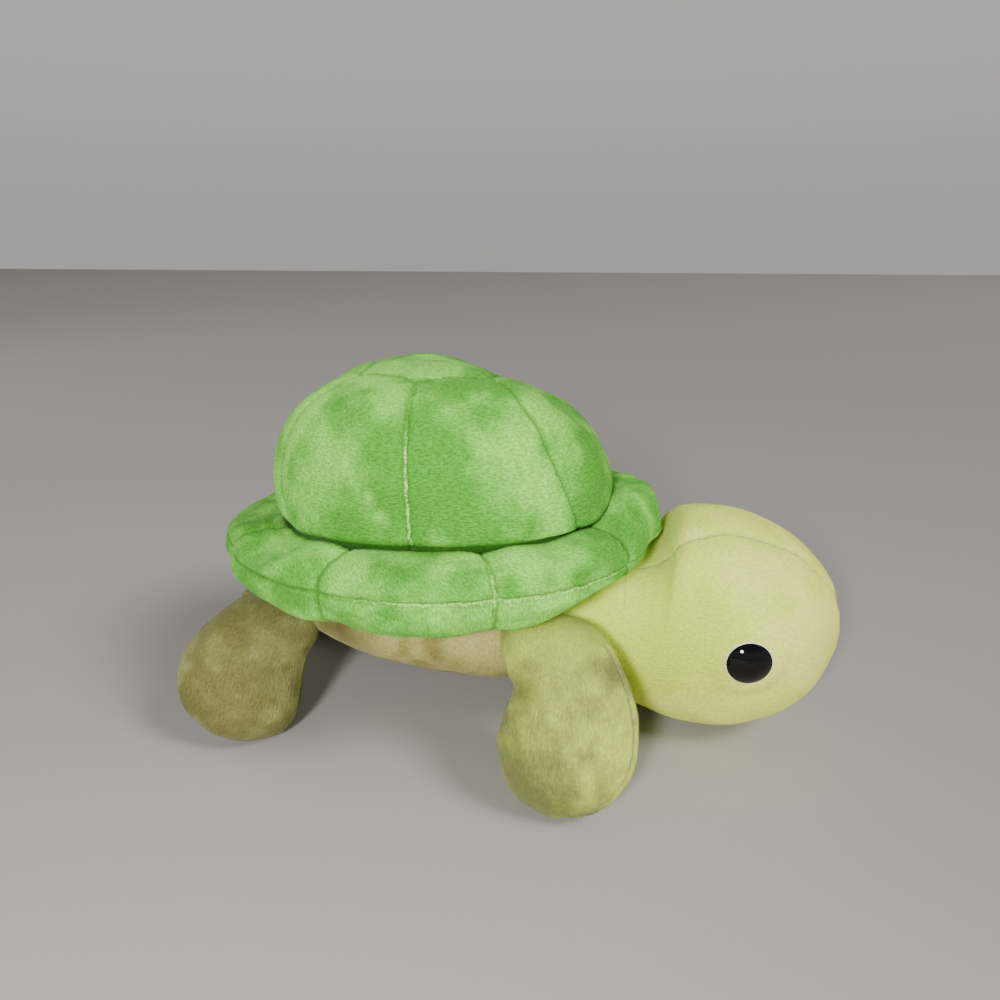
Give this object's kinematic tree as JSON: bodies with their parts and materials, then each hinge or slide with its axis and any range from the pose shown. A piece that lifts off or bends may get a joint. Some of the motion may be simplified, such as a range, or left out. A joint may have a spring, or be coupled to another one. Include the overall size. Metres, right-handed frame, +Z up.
{
  "type": "stuffed toy turtle",
  "caption": "Sewn plush turtle with a domed shell over a puffy rim, a big round head with domed eyes, paddle legs and a short tail.",
  "frame": {"origin": "middle of the footprint, on the surface that the turtle stands on", "axes": "+X towards the head, +Y towards the turtle's left side, +Z up"},
  "size_m": [0.3189, 0.2034, 0.1808],
  "materials": {
    "green_minky": "short crushed pile, leaf green",
    "pale_minky": "short crushed pile, pale yellow-green",
    "belly_minky": "short crushed pile, pale tan-green",
    "fibre_filling": "loose white polyester fibre",
    "black_plastic": "polished black, domed",
    "white_plastic": "white, satin"
  },
  "bodies": {
    "shell_and_body": {"dome_top_panel": "green_minky", "dome_side_panel_1": "green_minky", "dome_side_panel_2": "green_minky", "dome_side_panel_3": "green_minky", "dome_side_panel_4": "green_minky", "dome_side_panel_5": "green_minky", "dome_side_panel_6": "green_minky", "rim_upper_panel_1": "green_minky", "rim_upper_panel_2": "green_minky", "rim_upper_panel_3": "green_minky", "rim_upper_panel_4": "green_minky", "rim_upper_panel_5": "green_minky", "rim_upper_panel_6": "green_minky", "rim_upper_panel_7": "green_minky", "rim_upper_panel_8": "green_minky", "rim_lower_panel_1": "green_minky", "rim_lower_panel_2": "green_minky", "rim_lower_panel_3": "green_minky", "rim_lower_panel_4": "green_minky", "rim_lower_panel_5": "green_minky", "rim_lower_panel_6": "green_minky", "rim_lower_panel_7": "green_minky", "rim_lower_panel_8": "green_minky", "shell_base_cloth": "green_minky", "belly_panel": "belly_minky", "body_side_right": "belly_minky", "body_side_left": "belly_minky", "dome_filling": "fibre_filling", "rim_filling": "fibre_filling", "body_filling": "fibre_filling"},
    "neck": {"neck_filling": "fibre_filling"},
    "head": {"head_top_gusset": "pale_minky", "head_chin_gusset": "pale_minky", "head_side_left": "pale_minky", "head_side_right": "pale_minky", "head_filling": "fibre_filling", "eye_right": "black_plastic", "eye_left": "black_plastic", "eye_ring_right": "white_plastic", "eye_ring_left": "white_plastic", "eye_washer_right": "white_plastic", "eye_washer_left": "white_plastic"},
    "front_leg_right": {"front_leg_right_outer_panel": "pale_minky", "front_leg_right_inner_panel": "pale_minky", "front_leg_right_filling": "fibre_filling"},
    "front_leg_left": {"front_leg_left_outer_panel": "pale_minky", "front_leg_left_inner_panel": "pale_minky", "front_leg_left_filling": "fibre_filling"},
    "hind_leg_right": {"hind_leg_right_outer_panel": "pale_minky", "hind_leg_right_inner_panel": "pale_minky", "hind_leg_right_filling": "fibre_filling"},
    "hind_leg_left": {"hind_leg_left_outer_panel": "pale_minky", "hind_leg_left_inner_panel": "pale_minky", "hind_leg_left_filling": "fibre_filling"},
    "tail": {"tail_cover": "pale_minky", "tail_filling": "fibre_filling"}
  },
  "joints": [
    {"name": "head_turn", "type": "hinge", "parent": "shell_and_body", "child": "neck", "pos_m": [0.04617, 0, 0.0545], "axis": [0, 0, 1], "range_deg": [-12, 12], "stiffness_Nm_per_rad": 1.5},
    {"name": "head_nod", "type": "hinge", "parent": "neck", "child": "head", "pos_m": [0.04617, 0, 0.0545], "axis": [0, 1, 0], "range_deg": [-3, 12], "stiffness_Nm_per_rad": 1.5},
    {"name": "front_leg_right_swing", "type": "hinge", "parent": "shell_and_body", "child": "front_leg_right", "pos_m": [0.02017, -0.06, 0.05784], "axis": [0, 1, 0], "range_deg": [-15, 15], "stiffness_Nm_per_rad": 1},
    {"name": "front_leg_left_swing", "type": "hinge", "parent": "shell_and_body", "child": "front_leg_left", "pos_m": [0.02017, 0.06, 0.05784], "axis": [0, 1, 0], "range_deg": [-15, 15], "stiffness_Nm_per_rad": 1},
    {"name": "hind_leg_right_swing", "type": "hinge", "parent": "shell_and_body", "child": "hind_leg_right", "pos_m": [-0.11983, -0.042, 0.05507], "axis": [0, 1, 0], "range_deg": [-15, 15], "stiffness_Nm_per_rad": 1},
    {"name": "hind_leg_left_swing", "type": "hinge", "parent": "shell_and_body", "child": "hind_leg_left", "pos_m": [-0.11983, 0.042, 0.05507], "axis": [0, 1, 0], "range_deg": [-15, 15], "stiffness_Nm_per_rad": 1},
    {"name": "tail_wag", "type": "hinge", "parent": "shell_and_body", "child": "tail", "pos_m": [-0.11883, 0, 0.05], "axis": [0, 0, 1], "range_deg": [-20, 20], "stiffness_Nm_per_rad": 0.05}
  ]
}
